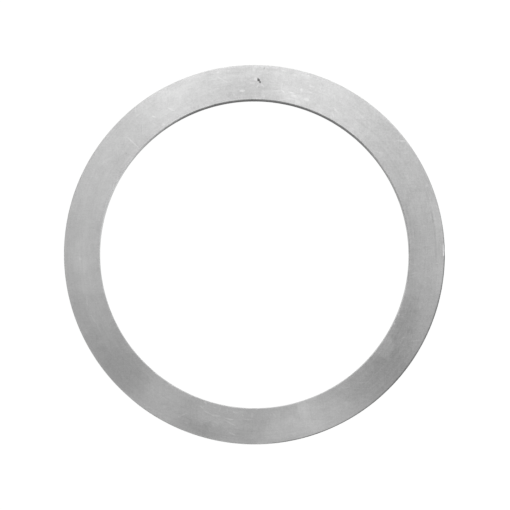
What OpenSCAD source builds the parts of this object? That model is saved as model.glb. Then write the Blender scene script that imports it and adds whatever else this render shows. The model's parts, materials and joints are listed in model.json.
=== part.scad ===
// Flat spacer ring: one turned piece with two flat ground faces, a wide through
// bore and lightly broken rims. The top face carries a small double pit, and the
// top outer rim a short rubbed nick. The ring's axis is Z, its bottom face lies on
// Z = 0, and all sizes are millimetres.

/* [Ring] */
// Diameter of the through bore
bore_d = 130; // [60:1:150]
// Width of the flat land between the bore and the outside
land_w = 15; // [6:0.5:40]
// Thickness between the two flat faces
ring_t = 5; // [2:0.1:20]

/* [Rims] */
// Leg of the 45 degree break on the two outer rims
outer_break = 0.3; // [0.1:0.05:0.8]
// Leg of the 45 degree break on the two rims of the bore
bore_break = 0.3; // [0.1:0.05:0.8]

/* [Face pit] */
// Angle of the pit about the ring's axis, counted from +X
pit_angle = 88.7; // [0:0.1:360]
// Place of the pit across the land, from 0 at the bore to 1 at the outside
pit_share = 0.57; // [0.3:0.01:0.7]
// Diameter of the pit's main hollow at the face
pit_d = 1.1; // [0.6:0.1:2]
// Depth of the pit's main hollow
pit_depth = 0.4; // [0.1:0.05:0.6]
// Diameter of the small hollow beside the main one
side_pit_d = 0.8; // [0.3:0.1:1.2]
// Depth of the small hollow
side_pit_depth = 0.25; // [0.1:0.05:0.4]
// Distance between the centres of the two hollows
side_pit_gap = 1.2; // [0.8:0.1:1.6]
// Direction of the small hollow from the main one, counted from +X
side_pit_angle = -55; // [-180:1:180]

/* [Rim nick] */
// Angle of the nick about the ring's axis, counted from +X
nick_angle = 0.9; // [0:0.1:360]
// Length of the nick along the rim
nick_l = 5; // [2:0.5:8]
// Depth of the nick below the broken edge, square to it
nick_depth = 0.12; // [0.05:0.01:0.3]

/* [Hidden] */
$fn = 180;
bore_r = bore_d / 2;
outer_r = bore_r + land_w;
pit_r = bore_r + land_w * pit_share;

// Radius of the ball whose cap has this width and this depth.
function cap_ball_r(cap_w, cap_depth) = (cap_w * cap_w / 4 + cap_depth * cap_depth) / (2 * cap_depth);

// Half of the ring's cross-section, a rectangle with all four corners broken.
module ring_section() {
    polygon([
        [bore_r + bore_break, 0],
        [outer_r - outer_break, 0],
        [outer_r, outer_break],
        [outer_r, ring_t - outer_break],
        [outer_r - outer_break, ring_t],
        [bore_r + bore_break, ring_t],
        [bore_r, ring_t - bore_break],
        [bore_r, bore_break]
    ]);
}

// A ball that cuts a shallow round hollow into the plane Z = 0 below it.
module hollow_cutter(hollow_d, hollow_depth) {
    ball_r = cap_ball_r(hollow_d, hollow_depth);
    translate([0, 0, ball_r - hollow_depth])
        sphere(r = ball_r);
}

// The pit's two hollows, in the top face.
module face_pit() {
    translate([pit_r * cos(pit_angle), pit_r * sin(pit_angle), ring_t]) {
        hollow_cutter(pit_d, pit_depth);
        rotate([0, 0, side_pit_angle])
            translate([side_pit_gap, 0, 0])
                hollow_cutter(side_pit_d, side_pit_depth);
    }
}

// A ball that rubs a short length of the top outer rim away, square to its broken edge.
module rim_nick() {
    ball_r = cap_ball_r(nick_l, nick_depth);
    rotate([0, 0, nick_angle])
        translate([outer_r - outer_break / 2, 0, ring_t - outer_break / 2])
            rotate([0, 45, 0])
                translate([0, 0, ball_r - nick_depth])
                    sphere(r = ball_r);
}

module spacer_ring() {
    color("lightgray")
        difference() {
            rotate_extrude()
                ring_section();
            face_pit();
            rim_nick();
        }
}

spacer_ring();
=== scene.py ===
import json
import math

import bmesh
import bpy
from mathutils import Matrix, Vector


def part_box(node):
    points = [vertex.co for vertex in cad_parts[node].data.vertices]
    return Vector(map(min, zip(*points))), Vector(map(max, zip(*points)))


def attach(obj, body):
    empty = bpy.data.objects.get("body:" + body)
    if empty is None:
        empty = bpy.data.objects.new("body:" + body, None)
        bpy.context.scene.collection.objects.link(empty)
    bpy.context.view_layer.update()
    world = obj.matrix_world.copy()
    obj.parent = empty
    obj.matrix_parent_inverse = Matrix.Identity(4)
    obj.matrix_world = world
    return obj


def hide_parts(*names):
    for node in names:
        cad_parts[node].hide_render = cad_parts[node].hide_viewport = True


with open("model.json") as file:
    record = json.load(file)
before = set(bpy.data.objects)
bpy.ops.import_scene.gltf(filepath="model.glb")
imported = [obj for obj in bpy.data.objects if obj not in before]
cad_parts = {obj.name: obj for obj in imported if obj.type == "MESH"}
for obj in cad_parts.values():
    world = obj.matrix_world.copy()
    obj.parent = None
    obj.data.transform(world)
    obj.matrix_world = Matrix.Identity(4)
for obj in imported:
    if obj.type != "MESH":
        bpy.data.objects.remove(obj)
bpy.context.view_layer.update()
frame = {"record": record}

# A millimetre in metres, and turns in degrees
MM = 0.001
HALF_TURN = 180.0
WHOLE_TURN = 360.0

# The ring's sizes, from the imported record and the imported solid
mounts = {mount["name"]: mount for mount in frame["record"]["mounts"]}
ring_low, ring_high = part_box("spacer_ring")
BORE_R = mounts["bore"]["dims"]["r_mm"] * MM
OUTER_R = mounts["outer_wall"]["dims"]["r_mm"] * MM
RING_T = ring_high.z - ring_low.z
EDGE_BREAK = (RING_T - mounts["bore"]["dims"]["length_mm"] * MM) / 2
LAND_W = OUTER_R - BORE_R
LAND_MID_R = (OUTER_R + BORE_R) / 2

# How finely the ring is meshed, and how near two places count as one
RING_STEPS = 360
LAND_LOOPS = 11
RIM_SEGMENTS = 3
MERGE_DISTANCE = 0.001 * MM
SAME_PLACE = 0.01 * MM

# The double pit in the top face, in millimetres and degrees
PIT_ANGLE = 88.7
PIT_SHARE = 0.57
PIT_D = 1.1
PIT_DEPTH = 0.4
SIDE_PIT_D = 0.8
SIDE_PIT_DEPTH = 0.25
SIDE_PIT_GAP = 1.2
SIDE_PIT_ANGLE = -55.0
# How far round the pit the mesh is made finer, once and again, and with how many cuts
PIT_REACHES = (4.0, 2.4)
PIT_CUTS = 3

# The rubbed nick in the top outer rim, in millimetres and degrees
NICK_ANGLE = 0.9
NICK_L = 5.0
NICK_DEPTH = 0.12
# How far round the nick the mesh is made finer, and with how many cuts
NICK_REACH = 4.5
NICK_CUTS = 2

# Camera: almost straight down on the ring, tipped a little towards the lower edge of the picture.
# Its distances are in metres, and its sensor is in millimetres.
CAMERA_TILT = math.radians(5.2)
CAMERA_SIDE = math.radians(-98.0)
CAMERA_DISTANCE = 1.05
CAMERA_SEES_TO = 100.0
SENSOR_W = 36.0
# Widths of the picture and of the ring in it, in pixels
PICTURE_W = 510
RING_PICTURE_W = 381.1
# Where the camera aims beside the ring's centre, in millimetres
AIM_RIGHT = 0.21
AIM_UP = -0.55


def ring_point(angle, radius, height=RING_T):
    """A place on the ring from its angle in degrees and its radius in metres."""
    turn = math.radians(angle)
    return Vector((radius * math.cos(turn), radius * math.sin(turn), height))


def new_object(name, mesh_maker):
    """Makes one mesh object at the origin from a bmesh."""
    mesh = bpy.data.meshes.new(name)
    mesh_maker.to_mesh(mesh)
    mesh_maker.free()
    made = bpy.data.objects.new(name, mesh)
    bpy.context.scene.collection.objects.link(made)
    return made


# The ring's mesh

def flat_radius(place):
    """Distance of a place from the ring's axis."""
    return math.hypot(place.x, place.y)


def ring_blank():
    """Spins the ring's square-cornered section round the axis."""
    ring = bmesh.new()
    corners = [(BORE_R, 0.0), (OUTER_R, 0.0), (OUTER_R, RING_T), (BORE_R, RING_T)]
    verts = [ring.verts.new((radius, 0.0, height)) for radius, height in corners]
    edges = [ring.edges.new((verts[i - 1], verts[i])) for i in range(len(verts))]
    bmesh.ops.spin(
        ring,
        geom=verts + edges,
        cent=(0.0, 0.0, 0.0),
        axis=(0.0, 0.0, 1.0),
        angle=math.tau,
        steps=RING_STEPS,
        use_merge=True,
    )
    bmesh.ops.remove_doubles(ring, verts=ring.verts, dist=MERGE_DISTANCE)
    bmesh.ops.recalc_face_normals(ring, faces=ring.faces)
    return ring


def break_rims(ring):
    """Rounds the four rims over by the edge break."""
    rims = []
    for edge in ring.edges:
        start, end = (vert.co for vert in edge.verts)
        level = abs(start.z - end.z) < SAME_PLACE
        if level and abs(flat_radius(start) - flat_radius(end)) < SAME_PLACE:
            rims.append(edge)
    bmesh.ops.bevel(
        ring,
        geom=rims,
        offset=EDGE_BREAK,
        offset_type="OFFSET",
        affect="EDGES",
        segments=RIM_SEGMENTS,
        profile=0.5,
        material=-1,
    )


def divide_land(ring):
    """Cuts the two flat lands into loops round the axis."""
    across = []
    for edge in ring.edges:
        start, end = (vert.co for vert in edge.verts)
        if abs(flat_radius(start) - flat_radius(end)) > LAND_W / 2:
            across.append(edge)
    bmesh.ops.subdivide_edges(ring, edges=across, cuts=LAND_LOOPS, use_grid_fill=True)


def refine_near(ring, place, reach, cuts):
    """Divides the edges that lie within reach of a place."""
    near = [
        edge
        for edge in ring.edges
        if all((vert.co - place).length < reach for vert in edge.verts)
    ]
    bmesh.ops.subdivide_edges(ring, edges=near, cuts=cuts, use_grid_fill=True)


def cap_ball(width, depth):
    """Radius of the ball whose cap has this width and depth."""
    return (width * width / 4 + depth * depth) / (2 * depth)


def press_ball(ring, centre, radius, push):
    """Moves the points that lie inside a ball to its surface, along the direction push."""
    for vert in ring.verts:
        away = vert.co - centre
        if away.length < radius:
            along = away.dot(push)
            vert.co += push * (math.sqrt(along * along - away.length_squared + radius * radius) - along)


def press_pit(ring):
    """Presses the pit's two hollows into the top face."""
    middle = ring_point(PIT_ANGLE, BORE_R + LAND_W * PIT_SHARE)
    turn = math.radians(SIDE_PIT_ANGLE)
    beside = middle + Vector((math.cos(turn), math.sin(turn), 0.0)) * SIDE_PIT_GAP * MM
    for reach in PIT_REACHES:
        refine_near(ring, middle, reach * MM, PIT_CUTS)
    for place, width, depth in ((middle, PIT_D, PIT_DEPTH), (beside, SIDE_PIT_D, SIDE_PIT_DEPTH)):
        radius = cap_ball(width, depth) * MM
        centre = place + Vector((0.0, 0.0, radius - depth * MM))
        press_ball(ring, centre, radius, Vector((0.0, 0.0, -1.0)))


def press_nick(ring):
    """Rubs the nick into the top outer rim, square to its broken edge."""
    turn = math.radians(NICK_ANGLE)
    outwards = Vector((math.cos(turn), math.sin(turn), 0.0))
    inwards = (-outwards - Vector((0.0, 0.0, 1.0))).normalized()
    rim = ring_point(NICK_ANGLE, OUTER_R - EDGE_BREAK / 2, RING_T - EDGE_BREAK / 2)
    refine_near(ring, rim, NICK_REACH * MM, NICK_CUTS)
    radius = cap_ball(NICK_L, NICK_DEPTH) * MM
    press_ball(ring, rim - inwards * (radius - NICK_DEPTH * MM), radius, inwards)


QUAD_CORNERS = 4


def divide_many_sided(ring):
    """Divides the many-sided faces round the pit and the nick into triangles."""
    many_sided = [face for face in ring.faces if len(face.verts) > QUAD_CORNERS]
    bmesh.ops.triangulate(ring, faces=many_sided, ngon_method="BEAUTY")


# Material slots, of which the walls take the last ones, and what counts as a wall and as a sharp edge
LAND_SLOT = 0
RIM_SLOT = 1
WALL_SLOT = 2
WALL_NORMAL_Z = 0.05
SHARP_ANGLE = math.radians(12.0)

# The bore's wall carries painted shade, a dulled reflection, between two angles, in degrees, and loses it
# past both in so many steps
SHADE_START = -5.0
SHADE_FULL = 65.0
SHADE_FADES = 112.0
SHADE_END = 150.0
WALL_STEPS = 8


def painted_wall_shade(angle):
    """How much painted shade the bore's wall has at an angle in degrees, from 0 to 1."""
    rise = (angle - SHADE_START) / (SHADE_FULL - SHADE_START)
    fall = (SHADE_END - angle) / (SHADE_END - SHADE_FADES)
    return max(0.0, min(rise, fall, 1.0))


def wall_slot(place):
    """The outer wall has the painted shade all round, and the bore's wall only in part."""
    if flat_radius(place) > LAND_MID_R:
        return WALL_SLOT
    unshaded = 1.0 - painted_wall_shade(math.degrees(math.atan2(place.y, place.x)))
    return WALL_SLOT + round(unshaded * (WALL_STEPS - 1))


def finish_faces(ring):
    """Gives each face its material slot, and keeps the land and walls true up to the rims."""
    for face in ring.faces:
        face.smooth = True
        middle = face.calc_center_median()
        if abs(face.normal.z) < WALL_NORMAL_Z:
            face.material_index = wall_slot(middle)
        elif BORE_R + EDGE_BREAK < flat_radius(middle) < OUTER_R - EDGE_BREAK:
            face.material_index = LAND_SLOT
        else:
            face.material_index = RIM_SLOT
    for edge in ring.edges:
        edge.smooth = edge.calc_face_angle(0.0) < SHARP_ANGLE


# The map that the ring's faces are laid out in, under this name. The ring is cut into sectors,
# which are unrolled and laid one above the other.
MAP_NAME = "OFBake"
MAP_SECTORS = 3
MAP_SECTOR_ANGLE = WHOLE_TURN / MAP_SECTORS
MAP_FIRST_ANGLE = 30.0
MAP_MARGIN = 0.01


def laid_flat(place):
    """Radius of a place on a land or a rim, with the rims laid flat beside the land."""
    radius = flat_radius(place)
    drop = min(place.z, RING_T - place.z)
    if radius > OUTER_R - EDGE_BREAK:
        return radius + drop
    if radius < BORE_R + EDGE_BREAK:
        return radius - drop
    return radius


def section_way(face, place):
    """The way round the section to a place: up the outer wall, over the top, down the bore and out below."""
    middle = face.calc_center_median()
    on_wall = face.material_index >= WALL_SLOT
    if on_wall and flat_radius(middle) > LAND_MID_R:
        return place.z
    if on_wall:
        return RING_T + LAND_W + RING_T - place.z
    if middle.z > RING_T / 2:
        return RING_T + OUTER_R - laid_flat(place)
    return RING_T + LAND_W + RING_T + laid_flat(place) - BORE_R


def ring_angle(place, first):
    """Angle of a place in degrees, counted on from the first angle."""
    return (math.degrees(math.atan2(place.y, place.x)) - first) % WHOLE_TURN


def with_margin(share):
    """A share from 0 to 1, moved in from both ends by the map's margin."""
    return MAP_MARGIN + share * (1.0 - 2 * MAP_MARGIN)


def lay_out_map(ring):
    """Gives the ring its map, whose first direction runs round the ring as the turning lines do."""
    layer = ring.loops.layers.uv.new(MAP_NAME)
    for face in ring.faces:
        sector = int(ring_angle(face.calc_center_median(), MAP_FIRST_ANGLE) / MAP_SECTOR_ANGLE)
        # Angles count from opposite the sector's middle, so that none passes 360 within the sector.
        opposite = MAP_FIRST_ANGLE + (sector + 0.5) * MAP_SECTOR_ANGLE - HALF_TURN
        for corner in face.loops:
            place = corner.vert.co
            along = (ring_angle(place, opposite) - HALF_TURN) / MAP_SECTOR_ANGLE + 0.5
            across = (section_way(face, place) - EDGE_BREAK) / (RING_T + LAND_W) / 2
            corner[layer].uv = with_margin(along), (sector + with_margin(across)) / MAP_SECTORS


def make_ring():
    """The whole ring as one mesh object."""
    ring = ring_blank()
    break_rims(ring)
    divide_land(ring)
    press_pit(ring)
    press_nick(ring)
    divide_many_sided(ring)
    ring.normal_update()
    finish_faces(ring)
    lay_out_map(ring)
    return new_object("ground_ring", ring)


# Node tree helpers

def feed(tree, socket, value):
    """Gives a node's input a number, a vector or another node's output."""
    if isinstance(value, bpy.types.NodeSocket):
        tree.links.new(value, socket)
    else:
        socket.default_value = value


def calc(tree, operation, *values):
    """One Math node; gives its result."""
    node = tree.nodes.new("ShaderNodeMath")
    node.operation = operation
    for socket, value in zip(node.inputs, values):
        feed(tree, socket, value)
    return node.outputs["Value"]


def calc_vector(tree, operation, *values, output="Vector"):
    """One Vector Math node; gives its result."""
    node = tree.nodes.new("ShaderNodeVectorMath")
    node.operation = operation
    for socket, value in zip(node.inputs, values):
        feed(tree, socket, value)
    return node.outputs[output]


def limited(tree, value):
    """The value, kept between 0 and 1."""
    return calc(tree, "MINIMUM", calc(tree, "MAXIMUM", value, 0.0), 1.0)


def parts(tree, vector):
    """The x, y and z of a vector."""
    node = tree.nodes.new("ShaderNodeSeparateXYZ")
    feed(tree, node.inputs["Vector"], vector)
    return node.outputs["X"], node.outputs["Y"], node.outputs["Z"]


def joined(tree, x, y, z):
    """A vector from its x, y and z."""
    node = tree.nodes.new("ShaderNodeCombineXYZ")
    for label, value in (("X", x), ("Y", y), ("Z", z)):
        feed(tree, node.inputs[label], value)
    return node.outputs["Vector"]


# Spreads Blender's noise, which lies mostly between 0.25 and 0.75, to about -1 to 1
NOISE_SPREAD = 4.0


def noise(tree, place, detail):
    """Noise with features about one unit wide, from about -1 to 1."""
    node = tree.nodes.new("ShaderNodeTexNoise")
    feed(tree, node.inputs["Vector"], place)
    node.inputs["Scale"].default_value = 1.0
    node.inputs["Detail"].default_value = detail
    return calc(tree, "MULTIPLY_ADD", node.outputs["Fac"], NOISE_SPREAD, -NOISE_SPREAD / 2)


def open_group(name, inputs, outputs):
    """A new node group; gives its tree, its inputs and its outputs."""
    tree = bpy.data.node_groups.new(name, "ShaderNodeTree")
    for label in inputs:
        kind = "NodeSocketVector" if label == "Place" else "NodeSocketFloat"
        tree.interface.new_socket(label, in_out="INPUT", socket_type=kind)
    for label in outputs:
        tree.interface.new_socket(label, in_out="OUTPUT", socket_type="NodeSocketFloat")
    given = tree.nodes.new("NodeGroupInput")
    result = tree.nodes.new("NodeGroupOutput")
    return tree, given.outputs, result.inputs


def use_group(tree, name, **values):
    """A node that runs a group; gives its outputs."""
    node = tree.nodes.new("ShaderNodeGroup")
    node.node_tree = bpy.data.node_groups[name]
    for label, value in values.items():
        feed(tree, node.inputs[label], value)
    return node.outputs


# Effects that the ring's finishes share

# Layers of finer noise in each effect, and how sharply a scratch begins
GRAIN_DETAIL = 2.0
BLOTCH_DETAIL = 3.0
STREAK_DETAIL = 1.0
SCRATCH_EDGE = 4.0


def ring_place_group():
    """Around in degrees, Out from the axis and Up from the bottom face, both in millimetres."""
    tree, given, result = open_group("ring_place", ["Place"], ["Around", "Out", "Up"])
    x, y, z = parts(tree, given["Place"])
    feed(tree, result["Around"], calc(tree, "DEGREES", calc(tree, "ARCTAN2", y, x)))
    squares = calc(tree, "MULTIPLY_ADD", x, x, calc(tree, "MULTIPLY", y, y))
    feed(tree, result["Out"], calc(tree, "DIVIDE", calc(tree, "SQRT", squares), MM))
    feed(tree, result["Up"], calc(tree, "DIVIDE", z, MM))


def grain_group():
    """Streaks with a length round the ring and a width across it or up it, in millimetres."""
    tree, given, result = open_group("grain", ["Place", "Length", "Width", "Seed"], ["Grain"])
    flat = calc_vector(tree, "MULTIPLY", given["Place"], (1.0, 1.0, 0.0))
    outwards = calc_vector(tree, "NORMALIZE", flat)
    stretch = calc(tree, "DIVIDE", LAND_MID_R / MM, given["Length"])
    along = calc_vector(tree, "MULTIPLY", outwards, joined(tree, stretch, stretch, 0.0))
    height = parts(tree, given["Place"])[2]
    reach = calc(tree, "ADD", calc_vector(tree, "LENGTH", flat, output="Value"), height)
    across = calc(tree, "DIVIDE", calc(tree, "DIVIDE", reach, MM), given["Width"])
    shifted = joined(tree, 0.0, 0.0, calc(tree, "ADD", across, given["Seed"]))
    feed(tree, result["Grain"], noise(tree, calc_vector(tree, "ADD", along, shifted), GRAIN_DETAIL))


def blotch_group():
    """Soft blotches of a size in millimetres."""
    tree, given, result = open_group("blotch", ["Place", "Size", "Seed"], ["Blotch"])
    fine = calc(tree, "DIVIDE", 1.0 / MM, given["Size"])
    scaled = calc_vector(tree, "MULTIPLY", given["Place"], joined(tree, fine, fine, fine))
    shifted = calc_vector(tree, "ADD", scaled, joined(tree, given["Seed"], 0.0, given["Seed"]))
    feed(tree, result["Blotch"], noise(tree, shifted, BLOTCH_DETAIL))


def streaks_group():
    """Straight streaks that run one way, by length and width in millimetres, with scratches among them."""
    labels = ["Place", "Turn", "Length", "Width", "Share", "Seed"]
    tree, given, result = open_group("streaks", labels, ["Streak", "Scratch"])
    turned = tree.nodes.new("ShaderNodeVectorRotate")
    turned.rotation_type = "Z_AXIS"
    feed(tree, turned.inputs["Vector"], given["Place"])
    feed(tree, turned.inputs["Angle"], calc(tree, "RADIANS", given["Turn"]))
    long = calc(tree, "DIVIDE", 1.0 / MM, given["Length"])
    fine = calc(tree, "DIVIDE", 1.0 / MM, given["Width"])
    scaled = calc_vector(tree, "MULTIPLY", turned.outputs["Vector"], joined(tree, long, fine, 1.0))
    shifted = calc_vector(tree, "ADD", scaled, joined(tree, 0.0, given["Seed"], given["Seed"]))
    streak = noise(tree, shifted, STREAK_DETAIL)
    feed(tree, result["Streak"], streak)
    level = calc(tree, "ADD", calc(tree, "SUBTRACT", streak, 1.0), given["Share"])
    feed(tree, result["Scratch"], limited(tree, calc(tree, "MULTIPLY", level, SCRATCH_EDGE)))


def mark_group():
    """One mark on the land: 1 in its middle, falling to 0 at its length and width in millimetres."""
    labels = ["Around", "Out", "Angle", "Radius", "Turn", "Length", "Width", "Hardness"]
    tree, given, result = open_group("mark", labels, ["Mask"])
    turned = calc(tree, "SUBTRACT", given["Around"], given["Angle"])
    away = calc(tree, "WRAP", turned, HALF_TURN, -HALF_TURN)
    along = calc(tree, "MULTIPLY", calc(tree, "RADIANS", away), given["Out"])
    across = calc(tree, "SUBTRACT", given["Out"], given["Radius"])
    turn = calc(tree, "RADIANS", given["Turn"])
    cosine = calc(tree, "COSINE", turn)
    sine = calc(tree, "SINE", turn)
    forward = calc(tree, "MULTIPLY_ADD", along, cosine, calc(tree, "MULTIPLY", across, sine))
    leaning = calc(tree, "MULTIPLY", along, sine)
    sideways = calc(tree, "SUBTRACT", calc(tree, "MULTIPLY", across, cosine), leaning)
    lengths = calc(tree, "DIVIDE", calc(tree, "MULTIPLY", forward, 2.0), given["Length"])
    widths = calc(tree, "DIVIDE", calc(tree, "MULTIPLY", sideways, 2.0), given["Width"])
    distance = calc(tree, "MULTIPLY_ADD", lengths, lengths, calc(tree, "MULTIPLY", widths, widths))
    level = calc(tree, "MULTIPLY", calc(tree, "SUBTRACT", 1.0, distance), given["Hardness"])
    feed(tree, result["Mask"], limited(tree, level))


# The land's marks, among them painted sheen, shade and glints

# Soft patches of tone, partly the metal's own and partly painted sheen and shade, in degrees and
# millimetres:
# angle, radius, turn, length, width, hardness, strength
TONE_AND_SHEEN_PATCHES = [
    # The top
    (92.5, 68.5, 0.0, 36.0, 24.0, 1.0, -0.15),
    (66.0, 72.0, 0.0, 26.0, 34.0, 1.0, 0.035),
    (122.0, 74.0, 0.0, 30.0, 28.0, 1.0, 0.07),
    (90.2, 77.6, 90.0, 5.0, 2.2, 1.5, 0.08),
    (92.0, 75.0, 0.0, 9.0, 7.0, 1.0, 0.07),
    (86.5, 71.0, 0.0, 9.0, 9.0, 1.0, -0.05),
    (76.5, 69.5, 0.0, 18.0, 7.0, 1.2, 0.05),
    (111.0, 69.0, 0.0, 18.0, 13.0, 1.0, -0.05),
    (104.0, 74.0, 0.0, 9.0, 12.0, 1.0, -0.05),
    (54.0, 68.5, 0.0, 13.0, 13.0, 1.0, 0.08),
    (52.5, 74.5, 0.0, 9.0, 10.0, 1.0, 0.05),
    (74.0, 78.3, 0.0, 12.0, 6.0, 1.0, 0.05),
    (84.5, 77.0, 0.0, 10.0, 8.0, 1.0, -0.05),
    (44.0, 76.5, 0.0, 9.0, 8.0, 1.0, -0.045),
    (138.0, 77.0, 0.0, 14.0, 9.0, 1.0, -0.06),
    (132.0, 70.0, 0.0, 18.0, 14.0, 1.0, -0.04),
    # The left
    (158.0, 72.0, 0.0, 36.0, 34.0, 1.0, 0.04),
    (160.0, 67.0, 0.0, 15.0, 9.0, 1.0, 0.05),
    (179.0, 71.3, 0.0, 28.0, 15.0, 1.0, 0.10),
    (191.0, 69.5, 0.0, 10.0, 14.0, 1.0, 0.08),
    (184.5, 70.5, 0.0, 10.0, 10.0, 1.2, 0.04),
    (205.0, 77.9, 0.0, 40.0, 12.0, 1.0, -0.10),
    (209.0, 71.5, 0.0, 15.0, 24.0, 1.0, -0.06),
    (212.5, 66.5, 0.0, 10.0, 7.0, 1.0, -0.07),
    (221.5, 75.3, 0.0, 30.0, 26.0, 1.0, -0.21),
    # The bottom
    (239.0, 71.0, 0.0, 20.0, 30.0, 1.2, 0.03),
    (247.5, 70.5, 0.0, 10.0, 11.0, 1.0, -0.06),
    (251.0, 77.6, 0.0, 24.0, 11.0, 1.2, -0.09),
    (259.5, 77.4, 0.0, 34.0, 12.0, 1.2, -0.11),
    (260.5, 69.8, 0.0, 8.0, 8.0, 1.0, -0.05),
    (268.0, 78.6, 0.0, 9.0, 6.0, 1.0, -0.07),
    (271.0, 71.0, 0.0, 14.0, 18.0, 1.0, -0.06),
    (275.5, 66.8, 0.0, 14.0, 7.0, 1.0, 0.04),
    (282.0, 66.8, 20.0, 9.0, 8.0, 1.5, -0.05),
    (279.0, 74.8, 0.0, 18.0, 12.0, 1.2, 0.13),
    (287.0, 77.8, 0.0, 16.0, 10.0, 1.0, 0.13),
    (291.0, 72.0, 32.0, 36.0, 20.0, 1.0, 0.18),
    (287.3, 68.6, 80.0, 13.0, 5.4, 4.0, 0.07),
    (296.0, 70.5, 0.0, 12.0, 12.0, 1.0, -0.035),
    # The lower right
    (319.0, 74.5, 0.0, 44.0, 28.0, 1.0, -0.23),
    (337.0, 69.0, 0.0, 23.0, 14.0, 1.0, -0.15),
    (324.3, 65.6, 0.0, 9.6, 11.6, 2.6, 0.08),
    (333.5, 72.0, 0.0, 18.0, 30.0, 1.0, -0.05),
    # The right
    (350.0, 66.5, 0.0, 12.0, 7.0, 1.0, -0.045),
    (8.0, 66.8, 0.0, 30.0, 8.0, 1.0, -0.05),
    (357.0, 75.0, 0.0, 28.0, 20.0, 1.0, 0.07),
    (352.0, 78.2, 0.0, 34.0, 5.0, 1.0, 0.06),
    (11.0, 78.4, 0.0, 24.0, 7.0, 1.0, 0.13),
    (26.0, 74.2, 0.0, 12.0, 8.0, 1.0, 0.06),
    (15.0, 72.8, 0.0, 16.0, 11.0, 1.0, 0.08),
]
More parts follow.
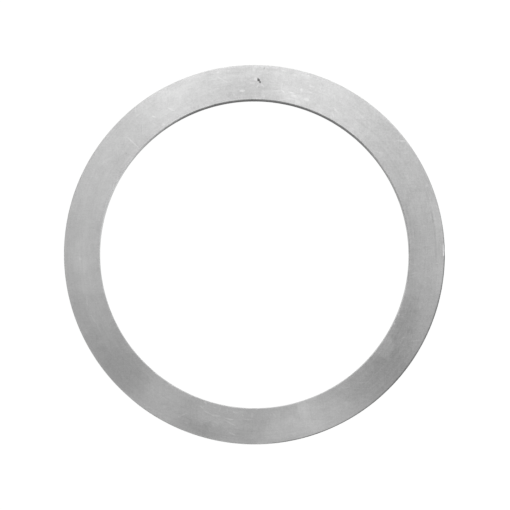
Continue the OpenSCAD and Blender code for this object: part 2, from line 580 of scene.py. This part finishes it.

# Scratches, rubs and specks, with a few painted glints and a painted dark line of shade among them,
# in degrees and millimetres: start angle and radius, end angle and radius, width, strength
SCRATCHES_AND_PAINTED_LIGHT = [
    # Pale rubs right of the pit
    (84.2, 69.2, 80.2, 69.8, 0.8, 0.12),
    (81.6, 65.9, 78.4, 66.3, 0.8, 0.10),
    (84.2, 74.1, 82.6, 74.0, 0.8, 0.07),
    (81.5, 72.8, 79.7, 72.8, 0.7, 0.07),
    (86.6, 67.4, 86.4, 65.6, 0.9, 0.08),
    (80.9, 70.4, 79.4, 69.2, 0.9, 0.14),
    (78.7, 70.0, 75.8, 69.8, 0.8, 0.18),
    (77.2, 68.7, 74.6, 68.7, 1.7, 0.13),
    (74.8, 72.4, 73.3, 71.8, 1.4, 0.11),
    (74.7, 69.4, 73.5, 68.9, 1.0, 0.09),
    (72.6, 68.8, 70.4, 68.9, 1.5, 0.11),
    (72.6, 72.0, 70.0, 72.1, 0.7, 0.13),
    (71.3, 70.7, 70.5, 70.1, 0.8, 0.08),
    (75.4, 67.0, 73.2, 66.5, 1.6, 0.11),
    (81.6, 78.3, 80.0, 78.4, 0.8, 0.16),
    (77.7, 77.6, 76.5, 77.6, 0.8, 0.08),
    (73.5, 79.0, 72.9, 78.6, 1.0, 0.16),
    (72.2, 74.8, 70.0, 74.7, 0.8, 0.12),
    (79.0, 67.0, 75.0, 67.4, 0.7, 0.08),
    (62.0, 70.5, 59.4, 69.1, 0.9, 0.12),
    (61.8, 68.5, 59.6, 66.5, 0.9, 0.11),
    (61.4, 66.5, 60.0, 65.8, 0.9, 0.10),
    (52.3, 73.2, 51.2, 73.7, 0.9, 0.09),
    (50.5, 72.8, 47.9, 71.3, 1.4, 0.07),
    # Rays round the pit and the speck above it
    (88.4, 71.8, 89.6, 69.9, 0.7, 0.12),
    (87.8, 71.9, 86.9, 70.9, 0.7, 0.12),
    (92.0, 72.3, 89.6, 72.1, 0.8, 0.09),
    (90.0, 74.7, 89.1, 73.0, 1.7, 0.15),
    (89.3, 74.6, 88.0, 72.5, 0.8, -0.45),
    (90.4, 79.2, 90.3, 77.0, 0.7, 0.05),
    (87.2, 78.6, 86.8, 78.6, 1.0, -0.30),
    (89.2, 68.6, 87.6, 66.2, 2.6, -0.06),
    # Rubs and scratches left of the pit
    (95.4, 69.0, 93.2, 69.1, 1.3, 0.24),
    (102.2, 76.7, 98.8, 73.1, 0.6, 0.10),
    (101.9, 78.5, 100.8, 78.2, 0.9, 0.10),
    (98.6, 78.2, 97.5, 78.1, 0.8, 0.09),
    (107.0, 76.4, 100.0, 75.0, 0.6, 0.05),
    (105.0, 75.6, 99.0, 74.6, 0.6, -0.05),
    (103.5, 71.6, 102.0, 71.3, 0.7, 0.08),
    (99.9, 68.8, 98.9, 68.8, 0.8, 0.09),
    (97.6, 70.8, 96.6, 70.2, 0.7, 0.08),
    (92.1, 74.8, 91.3, 74.6, 1.0, 0.09),
    (106.3, 75.3, 104.9, 75.0, 0.7, 0.08),
    (99.5, 72.5, 98.1, 72.3, 0.8, 0.08),
    (99.8, 69.7, 97.8, 66.2, 3.2, -0.05),
    (137.6, 72.9, 137.6, 65.5, 0.7, 0.16),
    (130.3, 73.2, 133.5, 68.8, 0.5, 0.08),
    (130.7, 73.0, 133.8, 68.8, 0.5, -0.08),
    (126.9, 72.6, 125.7, 70.6, 0.7, 0.16),
    (121.0, 71.9, 119.2, 68.9, 0.8, 0.15),
    (125.3, 67.3, 124.7, 65.8, 0.8, 0.10),
    (142.4, 68.5, 141.8, 68.5, 0.9, -0.18),
    (144.2, 74.3, 143.4, 73.6, 0.9, -0.08),
    # The left side
    (150.0, 74.8, 145.8, 72.4, 1.6, 0.05),
    (152.6, 75.0, 155.4, 73.2, 1.4, 0.05),
    (181.8, 74.0, 182.2, 72.4, 1.4, 0.09),
    (175.4, 74.2, 183.2, 73.2, 1.4, 0.05),
    (193.7, 72.5, 198.7, 73.7, 0.9, 0.07),
    (203.2, 72.4, 208.8, 72.6, 0.7, 0.08),
    (200.5, 73.2, 204.0, 72.8, 0.8, 0.09),
    (207.0, 74.0, 210.0, 76.2, 0.7, -0.05),
    # The right side: the dark turned line, its specks, the nick's painted glint and painted shade at the
    # edge
    (21.0, 76.7, 9.0, 76.4, 1.3, -0.08),
    (13.5, 76.4, 4.0, 76.3, 1.2, -0.10),
    (7.0, 76.3, -3.0, 76.1, 1.1, -0.10),
    (2.1, 74.6, 1.9, 70.4, 1.0, -0.07),
    (10.4, 77.6, 10.0, 74.4, 0.9, -0.06),
    (1.4, 72.2, 1.6, 75.0, 0.7, -0.06),
    (3.2, 79.4, -1.0, 79.4, 0.6, 0.9),
    (0.8, 79.4, -1.0, 79.4, 0.6, 0.6),
    (-2.9, 76.7, -3.3, 76.7, 0.9, 0.20),
    (6.0, 79.7, -72.0, 79.7, 0.9, -0.25),
    (-7.8, 65.2, -6.5, 69.4, 0.6, 0.10),
    (-9.1, 65.2, -7.6, 69.5, 0.6, 0.10),
    (38.6, 76.6, 36.6, 79.7, 1.0, 0.15),
    (45.6, 66.3, 38.6, 76.6, 0.7, 0.06),
    (40.6, 66.3, 37.6, 69.2, 0.7, 0.07),
    (21.6, 79.4, 21.4, 76.9, 1.2, 0.07),
    # The lower right: the dark edge of the pale lens, its scratches and two painted glints on the bore's
    # edge
    (329.6, 66.6, 327.0, 70.8, 2.8, -0.09),
    (327.2, 72.2, 321.8, 71.6, 2.6, -0.07),
    (330.0, 74.0, 332.8, 79.3, 0.6, 0.11),
    (329.4, 70.8, 331.2, 72.6, 0.6, 0.08),
    (308.0, 69.2, 310.9, 71.6, 0.6, 0.11),
    (303.6, 67.8, 306.0, 69.2, 0.6, 0.10),
    (300.3, 73.3, 303.0, 74.5, 1.8, 0.06),
    (337.3, 65.6, 336.4, 65.8, 0.9, 0.30),
    (333.7, 65.6, 332.8, 65.8, 0.9, 0.30),
    # The scratched place at the bottom
    (255.0, 70.2, 258.8, 69.7, 0.9, 0.15),
    (259.4, 70.2, 262.9, 70.4, 0.8, 0.13),
    (262.0, 67.2, 264.4, 67.4, 0.8, 0.14),
    (265.3, 67.6, 266.3, 68.6, 0.7, 0.12),
    (260.7, 70.7, 263.0, 70.2, 0.7, 0.08),
    (259.5, 70.8, 264.2, 72.9, 0.7, 0.14),
    (266.0, 69.7, 269.6, 69.8, 0.7, 0.11),
    (261.6, 75.8, 264.3, 76.7, 0.8, 0.17),
    (259.5, 73.9, 261.7, 73.8, 0.8, 0.08),
    (255.5, 73.3, 257.5, 74.9, 0.8, 0.08),
    (256.6, 72.4, 258.2, 73.2, 0.7, 0.07),
    (250.6, 73.5, 253.9, 74.9, 0.8, 0.09),
    (253.6, 74.7, 257.6, 76.6, 0.7, 0.06),
    (249.1, 74.2, 250.0, 77.8, 1.2, -0.06),
    (260.2, 65.9, 260.4, 68.3, 0.7, 0.07),
    (263.5, 73.6, 264.9, 73.8, 0.7, 0.07),
    (252.2, 74.8, 255.8, 71.9, 0.6, 0.10),
    (268.7, 77.8, 270.0, 77.0, 0.7, 0.08),
    (251.3, 69.2, 256.2, 70.2, 0.7, 0.12),
    (244.5, 76.4, 247.9, 71.8, 0.6, 0.12),
    (257.6, 65.6, 257.4, 68.4, 0.8, 0.07),
    (269.2, 69.2, 269.0, 66.4, 0.8, 0.10),
    (250.2, 67.9, 252.3, 68.7, 0.8, 0.12),
    (251.0, 65.6, 252.6, 66.4, 0.9, 0.16),
    (247.2, 76.8, 249.0, 76.4, 0.7, 0.10),
    (255.6, 75.8, 252.4, 74.2, 0.6, -0.07),
    (254.6, 66.6, 256.4, 67.0, 0.7, 0.09),
    (260.2, 67.0, 258.6, 68.0, 0.7, 0.09),
    (279.3, 68.9, 278.9, 68.9, 0.9, -0.10),
    (286.8, 71.8, 288.2, 66.6, 1.6, 0.05),
]

# How sharply the scratches end, and how far the patches' edges wander, in degrees and millimetres
SCRATCH_HARDNESS = 1.5
WANDER = 1.2
WANDER_SIZE = 7.0
WANDER_SEED = 31.0
SWAY_SEED = 47.0

# Evenly spread unevenness of ground steel, in millimetres and degrees
# Blotches: size, seed, strength
BLOTCHES = [
    (16.0, 3.0, 0.03),
    (6.0, 11.0, 0.03),
    (2.6, 23.0, 0.04),
    (1.0, 61.0, 0.05),
    (0.5, 83.0, 0.085),
]
# Grain round the ring: length, width, seed, strength
CURVED_GRAIN = [(14.0, 0.9, 5.0, 0.03), (22.0, 0.5, 37.0, 0.03)]
# Straight streaks, which show in patches: turn, length, width, seed, strength
STRAIGHT_STREAKS = [(0.0, 9.0, 0.7, 13.0, 0.035), (90.0, 6.0, 0.7, 29.0, 0.035)]
STREAK_PATCH = 9.0
STREAK_SHOWN = 0.5
# Stray scratches, which take up a share of the face: turn, length, width, seed, strength
STRAY_SCRATCHES = [(25.0, 9.0, 0.5, 2.0, 0.05), (-50.0, 9.0, 0.5, 9.0, 0.05)]
STRAY_SHARE = 0.1


def ground_tone(tree, place):
    """The fine unevenness of ground steel, round 0."""
    tone = 0.0
    for size, seed, strength in BLOTCHES:
        blotch = use_group(tree, "blotch", Place=place, Size=size, Seed=seed)["Blotch"]
        tone = calc(tree, "MULTIPLY_ADD", blotch, strength, tone)
    for length, width, seed, strength in CURVED_GRAIN:
        grain = use_group(tree, "grain", Place=place, Length=length, Width=width, Seed=seed)
        tone = calc(tree, "MULTIPLY_ADD", grain["Grain"], strength, tone)
    for turn, length, width, seed, strength in STRAIGHT_STREAKS:
        streak = use_group(tree, "streaks", Place=place, Turn=turn, Length=length, Width=width, Seed=seed)
        worn = use_group(tree, "blotch", Place=place, Size=STREAK_PATCH, Seed=seed)["Blotch"]
        shown = limited(tree, calc(tree, "ADD", worn, STREAK_SHOWN))
        seen = calc(tree, "MULTIPLY", shown, streak["Streak"])
        tone = calc(tree, "MULTIPLY_ADD", seen, strength, tone)
    for turn, length, width, seed, strength in STRAY_SCRATCHES:
        stray = use_group(
            tree, "streaks", Place=place, Turn=turn, Length=length, Width=width,
            Share=STRAY_SHARE, Seed=seed,
        )
        tone = calc(tree, "MULTIPLY_ADD", stray["Scratch"], strength, tone)
    return tone


def patch_tone_and_sheen(tree, place, spot):
    """The broad patches, partly lighter and darker metal and partly painted sheen and shade, with wandering
    edges.
    """
    wander = use_group(tree, "blotch", Place=place, Size=WANDER_SIZE, Seed=WANDER_SEED)["Blotch"]
    around = calc(tree, "MULTIPLY_ADD", wander, WANDER, spot["Around"])
    sway = use_group(tree, "blotch", Place=place, Size=WANDER_SIZE, Seed=SWAY_SEED)["Blotch"]
    out = calc(tree, "MULTIPLY_ADD", sway, WANDER, spot["Out"])
    tone = 0.0
    for angle, radius, turn, length, width, hardness, strength in TONE_AND_SHEEN_PATCHES:
        mask = use_group(
            tree, "mark", Around=around, Out=out, Angle=angle, Radius=radius,
            Turn=turn, Length=length, Width=width, Hardness=hardness,
        )["Mask"]
        tone = calc(tree, "MULTIPLY_ADD", mask, strength, tone)
    return tone


def scratch_and_painted_light_tone(tree, spot):
    """The single scratches and rubs, with the painted glints and the painted line of shade."""
    tone = 0.0
    for start, start_r, end, end_r, width, strength in SCRATCHES_AND_PAINTED_LIGHT:
        middle_r = (start_r + end_r) / 2
        along = math.radians(end - start) * middle_r
        mask = use_group(
            tree, "mark", Around=spot["Around"], Out=spot["Out"], Angle=(start + end) / 2,
            Radius=middle_r, Turn=math.degrees(math.atan2(end_r - start_r, along)),
            Length=math.hypot(along, end_r - start_r), Width=width, Hardness=SCRATCH_HARDNESS,
        )["Mask"]
        tone = calc(tree, "MULTIPLY_ADD", mask, strength, tone)
    return tone


# Materials

def material_tree(name):
    """A new material; gives it, its tree, its Principled shader and its Object coordinates."""
    made = bpy.data.materials.new(name)
    made.use_nodes = True
    tree = made.node_tree
    tree.nodes.clear()
    output = tree.nodes.new("ShaderNodeOutputMaterial")
    shader = tree.nodes.new("ShaderNodeBsdfPrincipled")
    tree.links.new(shader.outputs["BSDF"], output.inputs["Surface"])
    coordinates = tree.nodes.new("ShaderNodeTexCoord")
    return made, tree, shader, coordinates.outputs["Object"]


def grey(tree, value):
    """A grey colour from one value."""
    node = tree.nodes.new("ShaderNodeCombineColor")
    for label in ("Red", "Green", "Blue"):
        feed(tree, node.inputs[label], value)
    return node.outputs["Color"]


def relief(tree, shader, height, depth):
    """Raises the surface where the height is above 0, by so many millimetres for a height of 1."""
    bump = tree.nodes.new("ShaderNodeBump")
    bump.inputs["Distance"].default_value = depth * MM
    feed(tree, bump.inputs["Height"], height)
    feed(tree, shader.inputs["Normal"], bump.outputs["Normal"])


# How strongly the land's highlights stretch, and the share of a turn that stands square to the lines
LAND_LAY = 0.55
LAY_TURN = 0.25


def lay_direction(tree, shader, amount):
    """Stretches the highlights square to the turning lines, which run round the ring."""
    tangent = tree.nodes.new("ShaderNodeTangent")
    tangent.direction_type = "RADIAL"
    tangent.axis = "Z"
    feed(tree, shader.inputs["Tangent"], tangent.outputs["Tangent"])
    shader.inputs["Anisotropic"].default_value = amount
    shader.inputs["Anisotropic Rotation"].default_value = LAY_TURN


# The land's own tone, roughness and relief, the last in millimetres
LAND_TONE = 0.508
LAND_ROUGHNESS = 0.36
FINE_ROUGHNESS = -0.1
GROUND_RELIEF = 0.015
GROOVE_MOST = 0.2

# The fine unevenness is stronger on the ring's right, and the land paler at its rims, most at the outer one
HANDLED = 0.2
OUTWARD_RISE = 0.02
RIM_RUB = 0.05
RIM_RUB_W = 0.9

# The dirt in the pit: its tone, the depth it starts at and its ragged edge, in millimetres
DIRT_TONE = 0.24
DIRT_METALLIC = 0.2
DIRT_START = 0.08
DIRT_RAGGED = 0.10
DIRT_GRAIN = 0.7
DIRT_SEED = 53.0
DIRT_EDGE = 8.0


def pit_dirt(tree, place, spot):
    """1 where a place lies deep enough below the top face to hold dirt, and 0 above that."""
    depth = calc(tree, "SUBTRACT", RING_T / MM, spot["Up"])
    ragged = use_group(tree, "blotch", Place=place, Size=DIRT_GRAIN, Seed=DIRT_SEED)["Blotch"]
    start = calc(tree, "MULTIPLY_ADD", ragged, DIRT_RAGGED, DIRT_START)
    return limited(tree, calc(tree, "MULTIPLY", calc(tree, "SUBTRACT", depth, start), DIRT_EDGE))


def steel_land():
    """Ground steel of the two flat faces; the single marks and the patches, which carry painted sheen, shade
    and glints, are on the top one only.
    """
    made, tree, shader, place = material_tree("ground_steel_land")
    spot = use_group(tree, "ring_place", Place=place)
    handled = calc(tree, "MULTIPLY_ADD", parts(tree, place)[0], HANDLED / OUTER_R, 1.0)
    fine = calc(tree, "MULTIPLY", ground_tone(tree, place), handled)
    on_top = calc(tree, "GREATER_THAN", spot["Up"], RING_T / MM / 2)
    # The marks and patches added here hold painted glints, painted sheen and painted shade besides real
    # scratches and tone.
    scratches_and_painted_light = calc(tree, "MULTIPLY", scratch_and_painted_light_tone(tree, spot), on_top)
    marks_and_painted_light = calc(tree, "MULTIPLY_ADD", patch_tone_and_sheen(tree, place, spot), on_top, scratches_and_painted_light)
    outwards = calc(tree, "SUBTRACT", spot["Out"], LAND_MID_R / MM)
    paler = calc(tree, "MULTIPLY_ADD", outwards, OUTWARD_RISE * 2 * MM / LAND_W, 1.0)
    tone = calc(tree, "ADD", calc(tree, "ADD", marks_and_painted_light, fine), paler)
    edge = calc(tree, "ABSOLUTE", outwards)
    rub = calc(tree, "DIVIDE", calc(tree, "SUBTRACT", edge, LAND_W / MM / 2 - RIM_RUB_W), RIM_RUB_W)
    tone = calc(tree, "MULTIPLY_ADD", limited(tree, rub), RIM_RUB, tone)
    metal = calc(tree, "MULTIPLY", tone, LAND_TONE)
    dirt = calc(tree, "MULTIPLY", pit_dirt(tree, place, spot), on_top)
    soiled = calc(tree, "MULTIPLY_ADD", calc(tree, "SUBTRACT", DIRT_TONE, metal), dirt, metal)
    feed(tree, shader.inputs["Base Color"], grey(tree, soiled))
    feed(tree, shader.inputs["Metallic"], calc(tree, "MULTIPLY_ADD", dirt, DIRT_METALLIC - 1.0, 1.0))
    roughness = calc(tree, "MULTIPLY_ADD", fine, FINE_ROUGHNESS, LAND_ROUGHNESS)
    feed(tree, shader.inputs["Roughness"], roughness)
    grooves = calc(tree, "MINIMUM", calc(tree, "MAXIMUM", scratches_and_painted_light, 0.0), GROOVE_MOST)
    relief(tree, shader, calc(tree, "SUBTRACT", fine, grooves), GROUND_RELIEF)
    lay_direction(tree, shader, LAND_LAY)
    return made


# The walls' tone, roughness and relief, the last in millimetres, and how painted shade dulls their
# reflection when seen edge-on
WALL_TONE = 0.40
WALL_ROUGHNESS = 0.32
TURNED_RELIEF = 0.03
SHADED_GRAZING = 0.2
SHADE_CURVE = 1.5

# Turned lines round the walls, in millimetres: length, width, seed, strength
WALL_LINES = [(60.0, 0.3, 7.0, 0.05), (90.0, 1.0, 19.0, 0.05)]

# Smears on the walls, with a size in millimetres
SMEAR_SIZE = 9.0
SMEAR_SEED = 17.0
SMEAR = 0.05

# The rims, and the lengths of them painted brighter or darker than the rest as light and shade fall, in
# degrees
# and millimetres: angle, length, strength
RIM_TONE = 0.55
RIM_ROUGHNESS = 0.4
STRETCH_HARDNESS = 2.0
BORE_RIM_LIGHT_AND_SHADE = [
    (80.0, 104.0, -0.27),
    (9.0, 54.0, -0.16),
    (157.0, 50.0, 0.10),
]
OUTER_RIM_LIGHT_AND_SHADE = [
    (90.0, 190.0, 0.25),
    (95.0, 80.0, 0.15),
    (324.0, 138.0, -0.38),
    (260.0, 90.0, -0.15),
    (NICK_ANGLE, NICK_L, -0.15),
]


def painted_rim_light_and_shade(tree, spot, radius, stretches):
    """The painted light and shade along lengths of a rim, at one radius in metres."""
    tone = 0.0
    for angle, length, strength in stretches:
        mask = use_group(
            tree, "mark", Around=spot["Around"], Out=spot["Out"], Angle=angle, Radius=radius / MM,
            Turn=0.0, Length=length, Width=LAND_W / MM, Hardness=STRETCH_HARDNESS,
        )["Mask"]
        tone = calc(tree, "MULTIPLY_ADD", mask, strength, tone)
    return tone


def steel_wall(name, grazing):
    """Turned steel; grazing is how much it reflects when seen almost edge-on, lowered where shade is
    painted.
    """
    made, tree, shader, place = material_tree(name)
    lines = 0.0
    for length, width, seed, strength in WALL_LINES:
        line = use_group(tree, "grain", Place=place, Length=length, Width=width, Seed=seed)
        lines = calc(tree, "MULTIPLY_ADD", line["Grain"], strength, lines)
    smears = use_group(tree, "blotch", Place=place, Size=SMEAR_SIZE, Seed=SMEAR_SEED)["Blotch"]
    tone = calc(tree, "ADD", lines, calc(tree, "MULTIPLY_ADD", smears, SMEAR, WALL_TONE))
    feed(tree, shader.inputs["Base Color"], grey(tree, tone))
    shader.inputs["Metallic"].default_value = 1.0
    shader.inputs["Specular Tint"].default_value = (grazing, grazing, grazing, 1.0)
    feed(tree, shader.inputs["Roughness"], calc(tree, "ADD", lines, WALL_ROUGHNESS))
    relief(tree, shader, lines, TURNED_RELIEF)
    return made


def steel_walls():
    """One finish for each step from the wall with full painted shade to the wall with none."""
    walls = []
    for step in range(WALL_STEPS):
        unshaded = (step / (WALL_STEPS - 1)) ** SHADE_CURVE
        grazing = SHADED_GRAZING + (1.0 - SHADED_GRAZING) * unshaded
        walls.append(steel_wall("turned_wall_%d" % (step + 1), grazing))
    return walls


def steel_rim():
    """The broken rims, with lengths of painted light and shade."""
    made, tree, shader, place = material_tree("broken_rim")
    spot = use_group(tree, "ring_place", Place=place)
    fine = ground_tone(tree, place)
    tone = calc(tree, "ADD", fine, RIM_TONE)
    # Painted light and shade along the bore's rim and the outer rim
    tone = calc(tree, "ADD", tone, painted_rim_light_and_shade(tree, spot, BORE_R, BORE_RIM_LIGHT_AND_SHADE))
    tone = calc(tree, "ADD", tone, painted_rim_light_and_shade(tree, spot, OUTER_R, OUTER_RIM_LIGHT_AND_SHADE))
    feed(tree, shader.inputs["Base Color"], grey(tree, tone))
    shader.inputs["Metallic"].default_value = 1.0
    shader.inputs["Roughness"].default_value = RIM_ROUGHNESS
    relief(tree, shader, fine, GROUND_RELIEF)
    return made


# The stage: floor, world, lamps and camera

# The floor's half width in metres, its plain white, and the glow and the lit part that the camera sees
FLOOR_HALF = 30.0
FLOOR_WHITE = 0.8
FLOOR_GLOW = 0.94
FLOOR_SHADE = 0.14


def make_floor():
    """A pale floor that shows white with the ring's faint shadow, and lights the ring as paper does."""
    floor_mesh = bmesh.new()
    bmesh.ops.create_grid(floor_mesh, x_segments=1, y_segments=1, size=FLOOR_HALF)
    floor = new_object("floor", floor_mesh)
    made = bpy.data.materials.new("pale_floor")
    made.use_nodes = True
    tree = made.node_tree
    tree.nodes.clear()
    output = tree.nodes.new("ShaderNodeOutputMaterial")
    lit = tree.nodes.new("ShaderNodeBsdfDiffuse")
    lit.inputs["Color"].default_value = (FLOOR_WHITE, FLOOR_WHITE, FLOOR_WHITE, 1.0)
    seen_lit = tree.nodes.new("ShaderNodeBsdfDiffuse")
    seen_lit.inputs["Color"].default_value = (FLOOR_SHADE, FLOOR_SHADE, FLOOR_SHADE, 1.0)
    glow = tree.nodes.new("ShaderNodeEmission")
    glow.inputs["Strength"].default_value = FLOOR_GLOW
    seen = tree.nodes.new("ShaderNodeAddShader")
    tree.links.new(seen_lit.outputs["BSDF"], seen.inputs[0])
    tree.links.new(glow.outputs["Emission"], seen.inputs[1])
    pick = tree.nodes.new("ShaderNodeMixShader")
    tree.links.new(straight_rays(tree), pick.inputs["Fac"])
    tree.links.new(lit.outputs["BSDF"], pick.inputs[1])
    tree.links.new(seen.outputs["Shader"], pick.inputs[2])
    tree.links.new(pick.outputs["Shader"], output.inputs["Surface"])
    floor.data.materials.append(made)


def straight_rays(tree):
    """1 for the rays that show a thing itself: from the camera, in a reflection or through glass."""
    path = tree.nodes.new("ShaderNodeLightPath")
    mirror = calc(tree, "MAXIMUM", path.outputs["Is Camera Ray"], path.outputs["Is Glossy Ray"])
    return calc(tree, "MAXIMUM", mirror, path.outputs["Is Transmission Ray"])


# The room's light above, its light at the horizon, and how far up the horizon's light reaches
WORLD_LEVEL = 0.62
HORIZON_LEVEL = 0.95
HORIZON_RISE = 0.5


def make_world():
    """Even light from a plain grey room that grows paler towards the floor."""
    world = bpy.data.worlds.new("studio")
    bpy.context.scene.world = world
    world.use_nodes = True
    tree = world.node_tree
    tree.nodes.clear()
    output = tree.nodes.new("ShaderNodeOutputWorld")
    room = tree.nodes.new("ShaderNodeBackground")
    room.inputs["Color"].default_value = (1.0, 1.0, 1.0, 1.0)
    coordinates = tree.nodes.new("ShaderNodeTexCoord")
    height = parts(tree, coordinates.outputs["Generated"])[2]
    low = limited(tree, calc(tree, "SUBTRACT", 1.0, calc(tree, "DIVIDE", height, HORIZON_RISE)))
    level = calc(tree, "MULTIPLY_ADD", low, HORIZON_LEVEL - WORLD_LEVEL, WORLD_LEVEL)
    feed(tree, room.inputs["Strength"], level)
    tree.links.new(room.outputs["Background"], output.inputs["Surface"])


def softbox(name, place, aim, size, watts):
    """A soft square lamp that faces aim, and that the camera does not see."""
    lamp = bpy.data.lights.new(name, "AREA")
    lamp.size = size
    lamp.energy = watts
    made = bpy.data.objects.new(name, lamp)
    made.location = place
    made.rotation_euler = (Vector(aim) - Vector(place)).to_track_quat("-Z", "Y").to_euler()
    made.visible_camera = False
    bpy.context.scene.collection.objects.link(made)


# The two softboxes, in metres and watts
SOFTBOX_SIZE = 0.2
OVERHEAD_PLACE = (0.0, 0.15, 0.35)
OVERHEAD_AIM = (0.0, 0.15, 0.0)
OVERHEAD_WATTS = 0.175
FRONT_PLACE = (0.0, -0.31, 0.26)
FRONT_AIM = (0.0, 0.0, 0.0)
FRONT_WATTS = 0.1


def make_lamps():
    """One softbox over the ring's far side, and one lower in front of it."""
    softbox("overhead_softbox", OVERHEAD_PLACE, OVERHEAD_AIM, SOFTBOX_SIZE, OVERHEAD_WATTS)
    softbox("front_softbox", FRONT_PLACE, FRONT_AIM, SOFTBOX_SIZE, FRONT_WATTS)


def make_camera():
    """Looks close beside the ring's centre, with the ring's +Y up in the picture."""
    back = Vector((
        math.sin(CAMERA_TILT) * math.cos(CAMERA_SIDE),
        math.sin(CAMERA_TILT) * math.sin(CAMERA_SIDE),
        math.cos(CAMERA_TILT),
    ))
    up = (Vector((0.0, 1.0, 0.0)) - back * back.y).normalized()
    right = up.cross(back)
    aim = Vector((AIM_RIGHT * MM, AIM_UP * MM, RING_T / 2))
    turn = Matrix((right, up, back)).transposed().to_4x4()
    lens = bpy.data.cameras.new("camera")
    lens.sensor_width = SENSOR_W
    top_distance = CAMERA_DISTANCE - RING_T / 2
    lens.lens = SENSOR_W * RING_PICTURE_W / PICTURE_W * top_distance / (2 * OUTER_R)
    lens.clip_end = CAMERA_SEES_TO
    camera = bpy.data.objects.new("camera", lens)
    camera.matrix_world = Matrix.Translation(aim + back * CAMERA_DISTANCE) @ turn
    bpy.context.scene.collection.objects.link(camera)
    bpy.context.scene.camera = camera


make_camera()
for make_group in (ring_place_group, grain_group, blotch_group, streaks_group, mark_group):
    make_group()
ring = make_ring()
for finish in [steel_land(), steel_rim()] + steel_walls():
    ring.data.materials.append(finish)
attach(ring, "root")
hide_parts("spacer_ring")
make_floor()
make_world()
make_lamps()
bpy.context.scene.view_settings.view_transform = "Standard"
